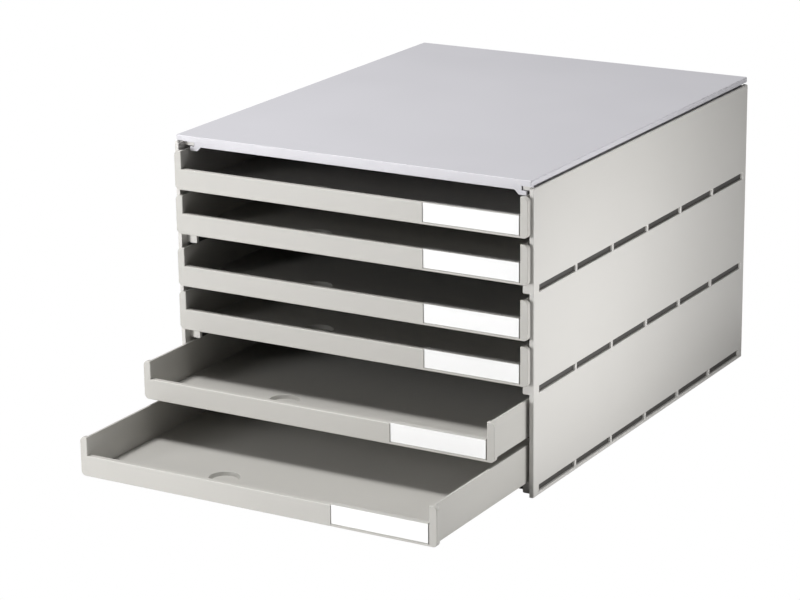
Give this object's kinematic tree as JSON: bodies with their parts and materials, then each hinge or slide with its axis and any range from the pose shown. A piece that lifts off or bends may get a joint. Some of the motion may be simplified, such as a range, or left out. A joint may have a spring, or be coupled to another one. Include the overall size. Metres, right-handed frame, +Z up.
{
  "type": "desk file box with drawers",
  "caption": "Moulded plastic desk file box with shallow slide-out paper drawers, low drawer fronts and clear label windows.",
  "frame": {"origin": "centre of the side panels' footprint, on the desk, at the base panel's underside", "axes": "+X to the right seen from the front, +Y to the rear, +Z up"},
  "size_m": [0.33, 0.5553, 0.2565],
  "materials": {
    "case_plastic": "fine matte texture, light grey",
    "drawer_plastic": "fine matte texture, light grey",
    "runner_plastic": "matte, dark grey",
    "window_plastic": "clear, glossy",
    "label_card": "blank white card"
  },
  "bodies": {
    "case": {"top_cover": "case_plastic", "side_panel_left": "case_plastic", "side_panel_right": "case_plastic", "back_panel": "case_plastic", "base_panel": "runner_plastic", "shelf_upper": "runner_plastic", "shelf_lower": "runner_plastic", "runner_left_1": "runner_plastic", "runner_right_1": "runner_plastic", "runner_left_2": "runner_plastic", "runner_right_2": "runner_plastic", "runner_left_3": "runner_plastic", "runner_right_3": "runner_plastic", "runner_left_4": "runner_plastic", "runner_right_4": "runner_plastic", "runner_left_5": "runner_plastic", "runner_right_5": "runner_plastic", "runner_left_6": "runner_plastic", "runner_right_6": "runner_plastic"},
    "drawer_1": {"drawer_tray_1": "drawer_plastic", "label_window_1": "window_plastic", "label_card_1": "label_card"},
    "drawer_2": {"drawer_tray_2": "drawer_plastic", "label_window_2": "window_plastic", "label_card_2": "label_card"},
    "drawer_3": {"drawer_tray_3": "drawer_plastic", "label_window_3": "window_plastic", "label_card_3": "label_card"},
    "drawer_4": {"drawer_tray_4": "drawer_plastic", "label_window_4": "window_plastic", "label_card_4": "label_card"},
    "drawer_5": {"drawer_tray_5": "drawer_plastic", "label_window_5": "window_plastic", "label_card_5": "label_card"},
    "drawer_6": {"drawer_tray_6": "drawer_plastic", "label_window_6": "window_plastic", "label_card_6": "label_card"}
  },
  "joints": [
    {"name": "drawer_1_slide", "type": "slide", "parent": "case", "child": "drawer_1", "axis": [0, -1, 0], "range_m": [0, 0.29]},
    {"name": "drawer_2_slide", "type": "slide", "parent": "case", "child": "drawer_2", "axis": [0, -1, 0], "range_m": [0, 0.29]},
    {"name": "drawer_3_slide", "type": "slide", "parent": "case", "child": "drawer_3", "axis": [0, -1, 0], "range_m": [0, 0.29]},
    {"name": "drawer_4_slide", "type": "slide", "parent": "case", "child": "drawer_4", "axis": [0, -1, 0], "range_m": [0, 0.29]},
    {"name": "drawer_5_slide", "type": "slide", "parent": "case", "child": "drawer_5", "axis": [0, -1, 0], "range_m": [-0.054, 0.236]},
    {"name": "drawer_6_slide", "type": "slide", "parent": "case", "child": "drawer_6", "axis": [0, -1, 0], "range_m": [-0.1435, 0.1465]}
  ]
}
